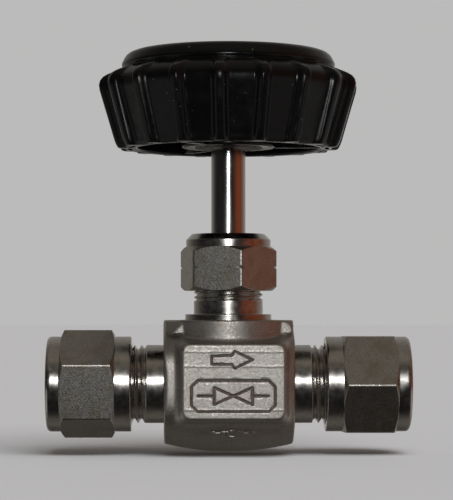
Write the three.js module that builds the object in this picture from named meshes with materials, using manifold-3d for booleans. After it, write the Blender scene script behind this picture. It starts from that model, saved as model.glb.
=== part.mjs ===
// A forged stainless needle valve with twin-ferrule tube connections at both ends, a screwed rising
// stem with a swivelling needle tip, a packing gland under a hexagonal packing nut, and a fluted
// moulded knob. Millimetres, +Z up along the stem, +X along the flow. The origin is where the stem
// axis crosses the flow axis. The valve is closed and every nut is finger tight.
import * as THREE from "three";
import { mergeVertices } from "three/addons/utils/BufferGeometryUtils.js";
import Module from "manifold-3d";

const wasm = await Module();
wasm.setup();

// Driving dimensions
const INCH = 25.4;
const FINE = 40; // sides of a large round
const COARSE = 24; // sides of a small round
const PLAY = 0.1; // axial gap between two parts that rest on each other

// Tube connections
const tubeBoreR = 4.85; // passes a 3/8 inch tube
const endThreadR = (9 / 16) * INCH * 0.5;
const endPitch = INCH / 20;
const endThreadDepth = 0.75;
const endNeckX = 14.9; // the plain neck ends and the thread begins
const connectorEndX = 27.0;
const tubeStopX = 16.8; // shoulder that the tube is pushed against
const coneStartX = 22.4; // bottom of the ferrule's conical seat
const coneMouthR = 6.15;
const portBoreR = 3.3;

// Tube nuts
const nutStartX = 17.7;
const nutInnerCollar = 3.05;
const nutHexLength = 9.85;
const nutOuterCollar = 2.55;
const nutFlats = (11 / 16) * INCH;
const nutCollarR = 8.69;
const nutThreadR = 7.4;
const nutShoulderX = 30.5;
const nutEndX = nutStartX + nutInnerCollar + nutHexLength + nutOuterCollar;

// Body
const bodyHalfX = 11.75;
const barrelR = 12.0; // upright barrel under the shoulder
const bodyTopZ = 11.7;
const bellyR = 12.35; // lying barrel round the flow axis, crowned along X
const bellyEndR = 10.9;
const padFaceY = 12.8;
const padHalfX = 9.15;
const padMiddleX = 0.75; // the front pad sits a little towards the outlet, and the back one mirrors it
const padLowZ = -6.0;
const padHighZ = 7.4;
const padDraft = 0.27; // sideways run of a pad's wall for each millimetre of its depth
const padDepth = 6.0;
const shoulderR = (5 / 8) * INCH * 0.5;
const shoulderTopZ = 12.8;
const neckR = 6.35;
const neckTopZ = 24.0;
const neckThreadZ = 15.05;
const neckPitch = INCH / 28;
const neckThreadDepth = 0.5;

// Bores inside the body
const orificeR = 2.0;
const orificeTopZ = -2.0;
const chamberR = 3.75;
const chamberTopZ = 4.2;
const stemNutR = 4.15; // clears the stem thread
const packingBoreR = 4.8;
const packingFloorZ = 13.7;
const drillR = 1.9;

// Stem
const stemR = INCH / 8;
const stemThreadR = (5 / 16) * INCH * 0.5;
const stemPitch = INCH / 24;
const stemThreadZ = 4.4;
const stemThreadTopZ = 8.4;
const stemShankR = 2.9;
const stemFootZ = 0.15;
const stemTopZ = 55.0;
const socketR = 1.95;
const socketTopZ = 2.75;

// Packing nut
const packingNutFlats = (5 / 8) * INCH;
const packingNutZ = 17.1;
const packingNutHexTopZ = 25.1;
const packingNutTopZ = 27.5;
const packingNutThreadR = 6.6;
const packingNutCeilingZ = 25.8;
const packingNutTurn = -15.5; // degrees that a flat is turned from facing -Y

// Knob
const knobRibs = 18;
const knobRibTurn = -5; // degrees of the rib nearest -Y
const knobBottomZ = 43.2;
const knobTopZ = 61.1;
const knobRibHeight = 1.25;
const knobHubR = 8.6;
const knobHubZ = 43.4;
const knobCeilingZ = 57.6;
const knobWebs = 3;
const knobWebTurn = -32; // degrees of the web nearest -Y
const insertR = 6.1;
const insertBottomZ = 43.2;
const insertTopZ = 55.6;
const screwZ = 48.5;
const screwR = 1.95;

const rad = THREE.MathUtils.degToRad;

// A geometry as a closed solid that can be cut and joined, with its faces pointing outwards.
function solid(geometry) {
  const bare = new THREE.BufferGeometry();
  const flat = geometry.index ? geometry.toNonIndexed() : geometry;
  bare.setAttribute("position", flat.getAttribute("position").clone());
  const merged = mergeVertices(bare, 1e-4);
  const make = (triVerts) =>
    new wasm.Manifold(
      new wasm.Mesh({ numProp: 3, vertProperties: merged.attributes.position.array, triVerts }),
    );
  const faces = new Uint32Array(merged.index.array);
  const made = make(faces);
  return made.volume() < 0 ? make(faces.reverse()) : made;
}

// A solid back as flat-shaded triangles.
function geometryOf(body) {
  const mesh = body.getMesh();
  const geometry = new THREE.BufferGeometry();
  geometry.setAttribute("position", new THREE.BufferAttribute(new Float32Array(mesh.vertProperties), 3));
  geometry.setIndex(new THREE.BufferAttribute(new Uint32Array(mesh.triVerts), 1));
  const faceted = geometry.toNonIndexed();
  faceted.computeVertexNormals();
  return faceted;
}

// A profile of [radius, height] points turned about +Z.
function revolve(profile, sides = COARSE) {
  const points = profile.map(([r, z]) => new THREE.Vector2(r, z));
  const geometry = new THREE.LatheGeometry(points, sides);
  return geometry.rotateX(Math.PI / 2);
}

const turned = (profile, sides) => solid(revolve(profile, sides));
const rod = (r, low, high, sides) => turned([[0, low], [r, low], [r, high], [0, high]], sides);
const tube = (inner, outer, low, high, sides) =>
  turned([[inner, low], [outer, low], [outer, high], [inner, high], [inner, low]], sides);

// A hexagonal bar along +Z, with a flat facing -Y before it is turned.
function hexBar(flats, low, high, turn = 0) {
  const bar = new THREE.CylinderGeometry(flats / Math.sqrt(3), flats / Math.sqrt(3), high - low, 6);
  bar.rotateX(Math.PI / 2).rotateZ(rad(30 + turn)).translate(0, 0, (low + high) / 2);
  return solid(bar);
}

// Points for the crests and roots of a thread, from its low end to its high end.
function threadPoints(majorR, depth, pitch, low, high) {
  const points = [];
  const turns = Math.floor((high - low) / pitch);
  for (let turn = 0; turn < turns; turn += 1) {
    const start = low + turn * pitch;
    points.push([majorR - depth, start + pitch * 0.5]);
    points.push([majorR, start + pitch * 0.95]);
  }
  return points;
}

const alongX = (geometry) => geometry.rotateY(Math.PI / 2);

// A body between two points, round, for the drilled passages.
function drill(r, from, to) {
  const start = new THREE.Vector3(...from);
  const way = new THREE.Vector3(...to).sub(start);
  const bar = new THREE.CylinderGeometry(r, r, way.length(), COARSE);
  bar.translate(0, way.length() / 2, 0);
  const upwards = new THREE.Vector3(0, 1, 0);
  bar.applyQuaternion(new THREE.Quaternion().setFromUnitVectors(upwards, way.normalize()));
  bar.translate(start.x, start.y, start.z);
  return solid(bar);
}

// The front pad of the forging, whose four walls lean outwards from its face.
function pad() {
  const run = padDepth * padDraft;
  const shape = new THREE.BoxGeometry(2 * padHalfX, padDepth, padHighZ - padLowZ);
  const place = shape.getAttribute("position");
  for (let i = 0; i < place.count; i += 1) {
    const root = place.getY(i) > 0 ? run : 0;
    place.setX(i, place.getX(i) + Math.sign(place.getX(i)) * root);
    place.setZ(i, place.getZ(i) + Math.sign(place.getZ(i)) * root);
  }
  return shape.translate(padMiddleX, padDepth / 2 - padFaceY, (padHighZ + padLowZ) / 2);
}

// The forging: an upright barrel on a lying one that is crowned along X, and a pad front and back.
function bodyForging() {
  const crown = [];
  const steps = 6;
  for (let i = 0; i <= steps; i += 1) {
    const share = (2 * i) / steps - 1;
    crown.push([bellyR - (bellyR - bellyEndR) * share * share, bodyHalfX * share]);
  }
  const lying = solid(alongX(revolve([[0, -bodyHalfX], ...crown, [0, bodyHalfX]], FINE)));
  const upright = rod(barrelR, 0, bodyTopZ, FINE);
  const front = solid(pad());
  const back = solid(pad().scale(1, -1, 1));
  return lying.add(upright).add(front).add(back);
}

// One threaded tube connector, along +X.
function connector() {
  const rim = connectorEndX - 0.5;
  const profile = [
    [0, bodyHalfX - 3],
    [endThreadR, bodyHalfX - 3],
    [endThreadR, endNeckX],
    ...threadPoints(endThreadR, endThreadDepth, endPitch, endNeckX, nutStartX + endPitch),
    [endThreadR, rim],
    [endThreadR - 0.7, connectorEndX],
    [0, connectorEndX],
  ];
  return alongX(revolve(profile, FINE));
}

// Everything bored out of one connector: the port, the tube socket and the ferrule's cone.
function connectorBore() {
  const profile = [
    [0, 8.0],
    [portBoreR, 8.0],
    [portBoreR, tubeStopX],
    [tubeBoreR, tubeStopX],
    [tubeBoreR, coneStartX],
    [coneMouthR, connectorEndX + 0.01],
    [coneMouthR, connectorEndX + 1],
    [0, connectorEndX + 1],
  ];
  return alongX(revolve(profile, COARSE));
}

function valveBody() {
  const neck = turned(
    [
      [0, bodyTopZ - 2],
      [shoulderR, bodyTopZ - 2],
      [shoulderR, shoulderTopZ],
      [neckR, shoulderTopZ],
      [neckR, neckThreadZ],
      ...threadPoints(neckR, neckThreadDepth, neckPitch, neckThreadZ, packingNutZ + neckPitch),
      [neckR, neckTopZ - 0.6],
      [neckR - 0.6, neckTopZ],
      [0, neckTopZ],
    ],
    FINE,
  );
  const right = solid(connector());
  const left = solid(connector().rotateZ(Math.PI));
  const stemBore = turned(
    [
      [0, -8.4],
      [orificeR, -8.4],
      [orificeR, orificeTopZ],
      [chamberR, orificeTopZ + 0.4],
      [chamberR, chamberTopZ],
      [stemNutR, chamberTopZ + 0.4],
      [stemNutR, packingFloorZ],
      [packingBoreR, packingFloorZ],
      [packingBoreR, neckTopZ + 1],
      [0, neckTopZ + 1],
    ],
    COARSE,
  );
  return bodyForging()
    .add(neck)
    .add(right)
    .add(left)
    .subtract(stemBore)
    .subtract(solid(connectorBore()))
    .subtract(solid(connectorBore().rotateZ(Math.PI)))
    .subtract(drill(drillR, [-10, 0, -0.5], [0.6, 0, -8.0]))
    .subtract(drill(drillR, [10, 0, 0.3], [1.5, 0, 1.3]));
}

// A tube nut along +X, in place on the right-hand connector.
function tubeNut(turn) {
  const hexLow = nutStartX + nutInnerCollar;
  const hexHigh = hexLow + nutHexLength;
  const corner = nutFlats / Math.sqrt(3);
  const bevel = 0.9;
  const hex = hexBar(nutFlats, hexLow, hexHigh, turn).intersect(
    turned(
      [
        [0, hexLow],
        [nutCollarR + 0.1, hexLow],
        [corner + 0.05, hexLow + bevel],
        [corner + 0.05, hexHigh - bevel],
        [nutCollarR + 0.1, hexHigh],
        [0, hexHigh],
      ],
      FINE,
    ),
  );
  const collars = turned(
    [
      [0, nutStartX],
      [nutCollarR - 0.35, nutStartX],
      [nutCollarR, nutStartX + 0.35],
      [nutCollarR, nutEndX - 0.5],
      [nutCollarR - 0.5, nutEndX],
      [0, nutEndX],
    ],
    FINE,
  );
  const bore = turned(
    [
      [0, nutStartX - 1],
      [nutThreadR, nutStartX - 1],
      [nutThreadR, nutShoulderX - 1.2],
      [tubeBoreR + 0.3, nutShoulderX],
      [tubeBoreR, nutShoulderX],
      [tubeBoreR, nutEndX + 1],
      [0, nutEndX + 1],
    ],
    COARSE,
  );
  return alongX(geometryOf(hex.add(collars).subtract(bore)));
}

// The front ferrule's nose lies in the connector's cone.
function frontFerrule() {
  const nose = coneStartX + 0.9;
  const heel = connectorEndX + 1.4;
  const slope = (coneMouthR - tubeBoreR) / (connectorEndX - coneStartX);
  return alongX(
    revolve(
      [
        [tubeBoreR, nose],
        [tubeBoreR + slope * 0.9 - 0.1, nose],
        [coneMouthR - 0.12, connectorEndX],
        [coneMouthR + 0.35, connectorEndX + 0.5],
        [coneMouthR + 0.35, heel],
        [tubeBoreR + 0.9, heel],
        [tubeBoreR, heel - 0.9],
        [tubeBoreR, nose],
      ],
      COARSE,
    ),
  );
}

// The rear ferrule's lip wedges under the front ferrule's heel, and the nut pushes its back.
function rearFerrule() {
  const lip = connectorEndX + 0.7;
  const heel = connectorEndX + 1.4;
  return alongX(
    revolve(
      [
        [tubeBoreR, lip],
        [tubeBoreR + 0.75, heel + PLAY],
        [tubeBoreR + 2.2, heel + PLAY],
        [tubeBoreR + 2.2, heel + 0.7],
        [tubeBoreR + 0.75, nutShoulderX - 0.35],
        [tubeBoreR, nutShoulderX - 0.35],
        [tubeBoreR, lip],
      ],
      COARSE,
    ),
  );
}

// The needle tip: a cone, and a headed stud that the stem holds but doesn't turn.
function needleTip() {
  const half = Math.tan(rad(30));
  const tipZ = orificeTopZ - orificeR / half + 0.12; // the cone sits this close to the seat's edge
  const coneR = 2.6;
  const coneTopZ = tipZ + coneR / half;
  return turned([
    [0, tipZ],
    [coneR, coneTopZ],
    [coneR, stemFootZ - PLAY],
    [1.15, stemFootZ - PLAY],
    [1.15, 1.3],
    [1.75, 1.3],
    [1.75, 2.3],
    [1.3, 2.6],
    [0, 2.6],
  ]);
}

// The split ring that keeps the needle tip's head in the stem's socket.
function tipRetainer() {
  const ring = tube(1.3, socketR - PLAY, 0.35, 1.15);
  const slit = new THREE.BoxGeometry(3, 0.5, 3).translate(1.7, 0, 0.8);
  return ring.subtract(solid(slit));
}

function stem() {
  return turned([
    [0, socketTopZ],
    [socketR, socketTopZ],
    [socketR, stemFootZ],
    [stemShankR, stemFootZ],
    [stemShankR, stemThreadZ - 0.5],
    [stemThreadR - 0.6, stemThreadZ],
    ...threadPoints(stemThreadR, 0.6, stemPitch, stemThreadZ, stemThreadTopZ),
    [stemThreadR, stemThreadTopZ],
    [stemR, stemThreadTopZ],
    [stemR, stemTopZ - 0.4],
    [stemR - 0.4, stemTopZ],
    [0, stemTopZ],
  ]);
}

const packingInnerR = stemR + 0.05;
const packingOuterR = packingBoreR - 0.1;

// One chevron ring: a V-shaped section of the given height, nested over the one below.
function chevron(low, height) {
  const middle = (packingInnerR + packingOuterR) / 2;
  const rise = 0.45;
  return turned([
    [packingInnerR, low],
    [middle, low + rise],
    [packingOuterR, low],
    [packingOuterR, low + height],
    [middle, low + height + rise],
    [packingInnerR, low + height],
    [packingInnerR, low],
  ]);
}

function lowerAdapter(low, height) {
  const middle = (packingInnerR + packingOuterR) / 2;
  return turned([
    [packingInnerR, low],
    [packingOuterR, low],
    [packingOuterR, low + height],
    [middle, low + height + 0.45],
    [packingInnerR, low + height],
    [packingInnerR, low],
  ]);
}

function upperAdapter(low, height) {
  const middle = (packingInnerR + packingOuterR) / 2;
  return turned([
    [packingInnerR, low],
    [middle, low + 0.45],
    [packingOuterR, low],
    [packingOuterR, low + height],
    [packingInnerR, low + height],
    [packingInnerR, low],
  ]);
}

// The gland: a skirt that enters the neck, and a flange under the packing nut's ceiling.
function packingGland(low) {
  const flangeZ = neckTopZ + 0.35;
  return turned([
    [stemR + 0.1, low],
    [packingOuterR, low],
    [packingOuterR, flangeZ],
    [neckR - 0.45, flangeZ],
    [neckR - 0.45, packingNutCeilingZ - PLAY],
    [stemR + 0.1, packingNutCeilingZ - PLAY],
    [stemR + 0.1, low],
  ]);
}

function packingNut() {
  const corner = packingNutFlats / Math.sqrt(3);
  const flat = packingNutFlats / 2;
  const notchZ = 21.3;
  const envelope = turned(
    [
      [0, packingNutZ],
      [flat + 0.15, packingNutZ],
      [corner + 0.05, packingNutZ + 0.7],
      [corner + 0.05, notchZ - 0.4],
      [corner - 0.6, notchZ],
      [corner + 0.05, notchZ + 0.4],
      [corner + 0.05, packingNutHexTopZ - 0.9],
      [flat, packingNutHexTopZ],
      [0, packingNutHexTopZ],
    ],
    FINE,
  );
  const hex = hexBar(packingNutFlats, packingNutZ, packingNutHexTopZ, packingNutTurn).intersect(envelope);
  const collar = turned(
    [
      [0, packingNutHexTopZ - 1],
      [flat - 0.15, packingNutHexTopZ - 1],
      [flat - 0.15, packingNutTopZ - 1.1],
      [flat - 1.25, packingNutTopZ],
      [0, packingNutTopZ],
    ],
    FINE,
  );
  const bore = turned(
    [
      [0, packingNutZ - 1],
      [packingNutThreadR, packingNutZ - 1],
      [packingNutThreadR, packingNutCeilingZ],
      [stemR + 0.15, packingNutCeilingZ],
      [stemR + 0.15, packingNutTopZ + 1],
      [0, packingNutTopZ + 1],
    ],
    COARSE,
  );
  return hex.add(collar).subtract(bore);
}

// Radius of the knob's panels at a height; ribs stand proud of it.
const knobLevels = [
  [knobBottomZ, 19.0],
  [knobBottomZ + 1.2, 19.7],
  [54.0, 22.6],
  [56.2, 21.4],
  [57.6, 19.7],
];

// The fluted skirt: an eighteen-sided loft whose corners carry narrow ribs.
function knobSkirt() {
  const ribHalf = rad(2.6);
  const step = (2 * Math.PI) / knobRibs;
  const around = [];
  for (let rib = 0; rib < knobRibs; rib += 1) {
    const middle = rad(-90 + knobRibTurn) + rib * step;
    around.push([middle - ribHalf * 1.25, 0], [middle - ribHalf * 0.7, 1]);
    around.push([middle + ribHalf * 0.7, 1], [middle + ribHalf * 1.25, 0]);
  }
  const rings = knobLevels.map(([z, r], level) => {
    const proud = level === knobLevels.length - 1 ? 0.4 : knobRibHeight;
    return around.map(([angle, rib]) => {
      const reach = r + rib * proud;
      return new THREE.Vector3(reach * Math.cos(angle), reach * Math.sin(angle), z);
    });
  });
  const place = [];
  const face = (...corners) => corners.forEach((corner) => place.push(corner.x, corner.y, corner.z));
  const count = around.length;
  const low = new THREE.Vector3(0, 0, knobLevels[0][0]);
  const high = new THREE.Vector3(0, 0, knobLevels[knobLevels.length - 1][0]);
  for (let i = 0; i < count; i += 1) {
    const next = (i + 1) % count;
    face(low, rings[0][next], rings[0][i]);
    face(high, rings[rings.length - 1][i], rings[rings.length - 1][next]);
    for (let level = 0; level + 1 < rings.length; level += 1) {
      const [a, b] = [rings[level][i], rings[level][next]];
      const [c, d] = [rings[level + 1][next], rings[level + 1][i]];
      face(a, b, c);
      face(a, c, d);
    }
  }
  const geometry = new THREE.BufferGeometry();
  geometry.setAttribute("position", new THREE.BufferAttribute(new Float32Array(place), 3));
  return solid(geometry);
}

function knob() {
  const dome = turned(
    [
      [0, 56.5],
      [19.4, 56.5],
      [19.7, 58.8],
      [19.1, 60.3],
      [17.4, 61.0],
      [0, knobTopZ],
    ],
    FINE,
  );
  let hollow = turned(
    [
      [knobHubR, knobBottomZ - 1],
      [16.4, knobBottomZ - 1],
      [16.9, knobBottomZ + 1.2],
      [19.4, 54.2],
      [17.6, knobCeilingZ],
      [knobHubR, knobCeilingZ],
      [knobHubR, knobBottomZ - 1],
    ],
    FINE,
  );
  for (let web = 0; web < knobWebs; web += 1) {
    const left = new THREE.BoxGeometry(14, 1.6, 15).translate(knobHubR + 6, 0, knobHubZ + 7.5);
    left.rotateZ(rad(-90 + knobWebTurn + (360 / knobWebs) * web));
    hollow = hollow.subtract(solid(left));
  }
  const hubTrim = rod(knobHubR + 1, knobBottomZ - 1, knobHubZ);
  const shell = knobSkirt().add(dome).subtract(hollow).subtract(hubTrim);
  const insertBore = rod(insertR + 0.2, knobBottomZ - 2, insertTopZ + 0.3);
  const screwWay = drill(screwR + 0.35, [0, 2, screwZ], [0, 30, screwZ]);
  return shell.subtract(insertBore).subtract(screwWay);
}

// The metal bush moulded into the knob, grooved so that it can't pull out, with the screw's hole.
function knobInsert() {
  const bush = turned([
    [stemR + 0.1, insertBottomZ],
    [insertR, insertBottomZ],
    [insertR, 51.2],
    [insertR - 0.8, 51.6],
    [insertR - 0.8, 52.6],
    [insertR, 53.0],
    [insertR, insertTopZ],
    [stemR + 0.1, insertTopZ],
    [stemR + 0.1, insertBottomZ],
  ]);
  return bush.subtract(drill(screwR + 0.2, [0, 1, screwZ], [0, 12, screwZ]));
}

// The socket set screw, along +Y, whose flat end bears on the stem.
function setScrew() {
  const screw = drill(screwR, [0, stemR + 0.15, screwZ], [0, 8.4, screwZ]);
  const key = new THREE.CylinderGeometry(1.15, 1.15, 3, 6).translate(0, 7.9, screwZ);
  return screw.subtract(solid(key));
}

// Materials: colour, roughness, metalness
const finish = (color, roughness, metalness) =>
  new THREE.MeshStandardMaterial({ color, roughness, metalness });
const forged = finish(0x8f8a80, 0.5, 1);
const machined = finish(0xa8a49c, 0.28, 1);
const polished = finish(0xc4c4c6, 0.1, 1);
const phenolic = finish(0x0b0b0c, 0.18, 0);
const ptfe = finish(0xe9e8e2, 0.45, 0);
const brass = finish(0xb9a77c, 0.35, 1);
const blackened = finish(0x2a2a2c, 0.4, 1);

const valve = new THREE.Group();

function place(name, shape, material) {
  const geometry = shape.isBufferGeometry ? shape : geometryOf(shape);
  const mesh = new THREE.Mesh(geometry, material);
  mesh.name = name;
  valve.add(mesh);
  return mesh;
}

place("valve_body", valveBody(), forged);

// The left-hand connection is the right-hand one turned half round about the stem axis.
for (const [side, half, flatTurn] of [["outlet", 0, 30], ["inlet", Math.PI, -8.2]]) {
  place(`${side}_nut`, tubeNut(flatTurn), machined).rotation.z = half;
  place(`${side}_front_ferrule`, frontFerrule(), machined).rotation.z = half;
  place(`${side}_rear_ferrule`, rearFerrule(), machined).rotation.z = half;
}

place("needle_tip", needleTip(), machined);
place("tip_retainer", tipRetainer(), machined);
place("stem", stem(), polished);

// The packing stack, from the neck's floor upwards
const stackGap = 0.05;
let stackZ = packingFloorZ + PLAY;
place("packing_washer", tube(packingInnerR, packingOuterR, stackZ, stackZ + 1.0), machined);
stackZ += 1.0 + stackGap;
place("packing_lower_adapter", lowerAdapter(stackZ, 0.9), ptfe);
stackZ += 0.9 + stackGap;
for (const number of [1, 2, 3]) {
  place(`packing_ring_${number}`, chevron(stackZ, 1.1), ptfe);
  stackZ += 1.1 + stackGap;
}
place("packing_upper_adapter", upperAdapter(stackZ, 1.5), ptfe);
stackZ += 1.5 + stackGap;
place("packing_gland", packingGland(stackZ), machined);
place("packing_nut", packingNut(), machined);

place("knob", knob(), phenolic);
place("knob_insert", knobInsert(), brass);
place("knob_set_screw", setScrew(), blackened);

export default valve;
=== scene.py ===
"""The looks of a needle valve: fine surfaces, materials, a pale floor and soft studio light.

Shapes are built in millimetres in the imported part's own frame: +X along the flow, +Z up the stem,
and the origin where the two axes cross. Each mesh is turned into metres when it becomes an object.
"""

import math

import bpy
import numpy as np
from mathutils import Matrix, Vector


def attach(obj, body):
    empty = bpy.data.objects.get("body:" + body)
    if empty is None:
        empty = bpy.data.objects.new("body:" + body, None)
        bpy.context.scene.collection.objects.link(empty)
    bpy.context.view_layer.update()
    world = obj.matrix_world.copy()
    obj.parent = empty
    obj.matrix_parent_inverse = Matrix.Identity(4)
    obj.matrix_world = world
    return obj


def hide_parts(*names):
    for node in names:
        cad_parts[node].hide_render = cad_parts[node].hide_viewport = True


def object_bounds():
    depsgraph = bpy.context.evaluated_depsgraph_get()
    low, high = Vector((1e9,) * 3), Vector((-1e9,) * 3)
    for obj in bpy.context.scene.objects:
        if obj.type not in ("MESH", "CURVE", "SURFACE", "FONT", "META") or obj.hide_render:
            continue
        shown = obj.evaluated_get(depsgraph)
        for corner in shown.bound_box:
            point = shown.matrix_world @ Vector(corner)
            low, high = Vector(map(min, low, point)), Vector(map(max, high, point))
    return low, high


MM = 0.001
INCH = 25.4

# Tube connections, measured along the flow from the stem's axis
TUBE_BORE_R = 4.85
TUBE_STOP_X = 16.8
PORT_R = 3.3
PORT_START_X = 8.0
CONE_START_X = 22.4
CONE_MOUTH_R = 6.15
CONNECTOR_START_X = 9.0
CONNECTOR_END_X = 27.0
END_THREAD_R = 9 / 32 * INCH
END_THREAD_START_X = 14.9
END_THREAD_DEPTH = 0.78
END_PITCH = INCH / 20
NUT_START_X = 17.7
NUT_HEX_X = (20.75, 30.6)
NUT_END_X = 33.15
NUT_FLATS = 11 / 16 * INCH
NUT_BEVEL = 0.75
NUT_COLLAR_R = 8.69
NUT_BORE_R = 7.4
NUT_SHOULDER_X = 30.5
INLET_NUT_TURN = -8.2
OUTLET_NUT_TURN = 30
FRONT_FERRULE_NOSE_X = CONE_START_X + 0.9
FRONT_FERRULE_HEEL_X = CONNECTOR_END_X + 1.4
REAR_FERRULE_NOSE_X = CONNECTOR_END_X + 0.7
REAR_FERRULE_RING_X = (CONNECTOR_END_X + 1.5, CONNECTOR_END_X + 2.1)
REAR_FERRULE_HEEL_X = NUT_SHOULDER_X - 0.35

# Body: two crossing barrels, the upright one under the stem and the lying one along the flow
BODY_HALF_X = 11.75
BARREL_R = 11.9
BODY_TOP_Z = 11.7
BELLY_R = 12.35
BELLY_END_R = 10.9
FRONT_END_R = 12.1
LAND_Y = 11.1
PAD_Y = 12.8
PAD_X = (-8.4, 9.9)
PAD_Z = (-6.0, 7.4)
PAD_DEPTH = 3.6
PAD_EDGE = 0.8
PAD_RIDGES_Z = (6.1, 3.5, -4.25)
GROOVE_DEPTH = 0.3
GROOVE_HALF = 0.22
LUG_X = 7.9
LUG_Z = 9.2
LUG_FRONTS = (10.4, 9.4)
LUG_BEVELS = (29.6, 30.4)
STEM_BORE_R = 4.15
CHAMBER_R = 3.75
CHAMBER_Z = (-1.6, 4.2)
ORIFICE_R = 2.0
ORIFICE_LOW_Z = -8.4
DRILL_R = 1.9
INLET_DRILLING = ((-10, -0.5), (0.6, -8.0))
OUTLET_DRILLING = ((10, 0.3), (1.5, 1.3))
SHOULDER_R = 5 / 16 * INCH
SHOULDER_TOP_Z = 12.8
NECK_R = 6.35
NECK_START_Z = 10.5
NECK_TOP_Z = 24.0
NECK_THREAD_START_Z = 15.05
NECK_THREAD_DEPTH = 0.52
NECK_PITCH = INCH / 28
PACKING_BORE_R = 4.8
PACKING_FLOOR_Z = 13.7

# Stem and needle
STEM_R = INCH / 8
STEM_TOP_Z = 55.0
STEM_FOOT_Z = 0.15
STEM_HEAD_R = 2.9
STEM_HEAD_TOP_Z = 3.9
STEM_SOCKET_R = 1.95
STEM_SOCKET_TOP_Z = 2.75
STEM_THREAD_R = 5 / 32 * INCH
STEM_THREAD_Z = (4.4, 8.4)
STEM_THREAD_DEPTH = 0.6
STEM_PITCH = INCH / 24
NEEDLE_R = 2.6
NEEDLE_TOP_Z = 0.05
NEEDLE_HALF_ANGLE = 30
NEEDLE_NECK_R = 1.15
NEEDLE_HEAD_R = 1.75
NEEDLE_HEAD_Z = (1.3, 2.4)

# Packing, gland and packing nut
PACKING_STACK_Z = 13.8
PACKING_CONE_RISE = 0.45
GLAND_Z = (20.8, 25.7)
GLAND_FLANGE_R = 5.9
GLAND_FLANGE_Z = 24.35
PACKING_NUT_FLATS = 5 / 8 * INCH
PACKING_NUT_HEX_Z = (17.1, 25.1)
PACKING_NUT_TOP_Z = 27.5
PACKING_NUT_NOTCH_Z = 21.3
PACKING_NUT_BORE_R = 6.6
PACKING_NUT_CEILING_Z = 25.8
PACKING_NUT_TURN = -15.5

# Knob
KNOB_RIBS = 18
KNOB_RIB_TURN = -5
KNOB_BOTTOM_Z = 43.2
KNOB_CEILING_Z = 57.6
KNOB_SKIRT_TOP_Z = 57.7
KNOB_TOP_Z = 61.1
KNOB_HUB_R = 8.6
KNOB_HUB_Z = 43.4
KNOB_WEBS = 3
KNOB_WEB_TURN = -32
KNOB_WEB_THICKNESS = 1.6
KNOB_WEB_LENGTH = 9.0
KNOB_WEB_LEAN = 1.6
INSERT_R = 6.1
INSERT_TOP_Z = 55.6
SCREW_R = 1.95
SCREW_Z = 48.5

# The knob's ribs: half their widths, and, with the height of each value first, how far out they
# reach and how deep the flat panels between them lie
RIB_CREST_HALF = 0.62
RIB_FOOT_HALF = 1.5
RIB_REACH = ((KNOB_BOTTOM_Z, 20.3), (44.6, 21.0), (54.2, 23.5), (56.2, 22.9), (KNOB_SKIRT_TOP_Z, 20.1))
PANEL_DEPTH = ((KNOB_BOTTOM_Z, 0.95), (44.4, 1.25), (54.6, 1.25), (56.4, 1.15), (KNOB_SKIRT_TOP_Z, 0.1))

# Camera, a small flash near it, a second one for the knob alone, daylight from above, and floor
CAMERA_PLACE = Vector((-6.9, -379.0, 12.3)) * MM
CAMERA_AIM = Vector((-0.35, 0.0, 24.6)) * MM
CAMERA_LENS = 148.4
SENSOR_WIDTH = 36
FLASH = {"shape": "DISK", "size": 70 * MM, "energy": 0.4}
FLASH_PLACE = Vector((-8, -420, 85)) * MM
FLASH_AIM = Vector((0, 0, 10)) * MM
KNOB_FLASH_PLACE = Vector((-8, -420, 20)) * MM
KNOB_FLASH_AIM = Vector((0, 0, 50)) * MM
DAYLIGHT = {"angle": math.radians(50), "energy": 1.65}
DAYLIGHT_FROM = Vector((0.3, -0.5, 1.0))
FLOOR_REACH = 6000
FLOOR_GAP = 0.4

# The forging and the knob's shell are thinned to no more triangles than this
MOST_TRIANGLES = 195000

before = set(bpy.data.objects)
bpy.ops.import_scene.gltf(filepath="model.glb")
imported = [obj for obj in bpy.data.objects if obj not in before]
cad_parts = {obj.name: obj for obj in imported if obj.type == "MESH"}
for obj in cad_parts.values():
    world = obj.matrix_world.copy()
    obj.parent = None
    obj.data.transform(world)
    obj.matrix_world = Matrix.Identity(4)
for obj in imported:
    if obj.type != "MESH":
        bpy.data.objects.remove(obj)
cad_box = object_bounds()
scene = bpy.context.scene


# ---- Shapes ----------------------------------------------------------------------------------


def smooth_min(a, b, width):
    """The lesser of a and b, with the crease between them rounded over that width."""
    share = np.clip(0.5 + 0.5 * (b - a) / width, 0, 1)
    return b * (1 - share) + a * share - width * share * (1 - share)


def smooth_max(a, b, width):
    """The greater of a and b, with the crease between them rounded over that width."""
    return -smooth_min(-a, -b, width)


def smooth_step(low, high, value):
    """0 below low and 1 above high, with a smooth change between them."""
    share = np.clip((value - low) / (high - low), 0, 1)
    return share * share * (3 - 2 * share)


def rounded(corners, steps=4):
    """A profile of (radius, height) from corners of (radius, height, setback of the rounding)."""
    points = [np.array(c[:2], float) for c in corners]
    setbacks = [c[2] if len(c) > 2 else 0.0 for c in corners]
    closed = corners[0][0] > 1e-6
    profile = []
    for i, (point, setback) in enumerate(zip(points, setbacks)):
        if setback == 0 or (not closed and i in (0, len(points) - 1)):
            profile.append(point)
            continue
        before = points[i - 1] - point
        after = points[(i + 1) % len(points)] - point
        start = point + before / np.linalg.norm(before) * min(setback, np.linalg.norm(before) * 0.49)
        end = point + after / np.linalg.norm(after) * min(setback, np.linalg.norm(after) * 0.49)
        for t in np.linspace(0, 1, steps + 1):
            profile.append((1 - t) ** 2 * start + 2 * t * (1 - t) * point + t * t * end)
    return profile


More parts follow.
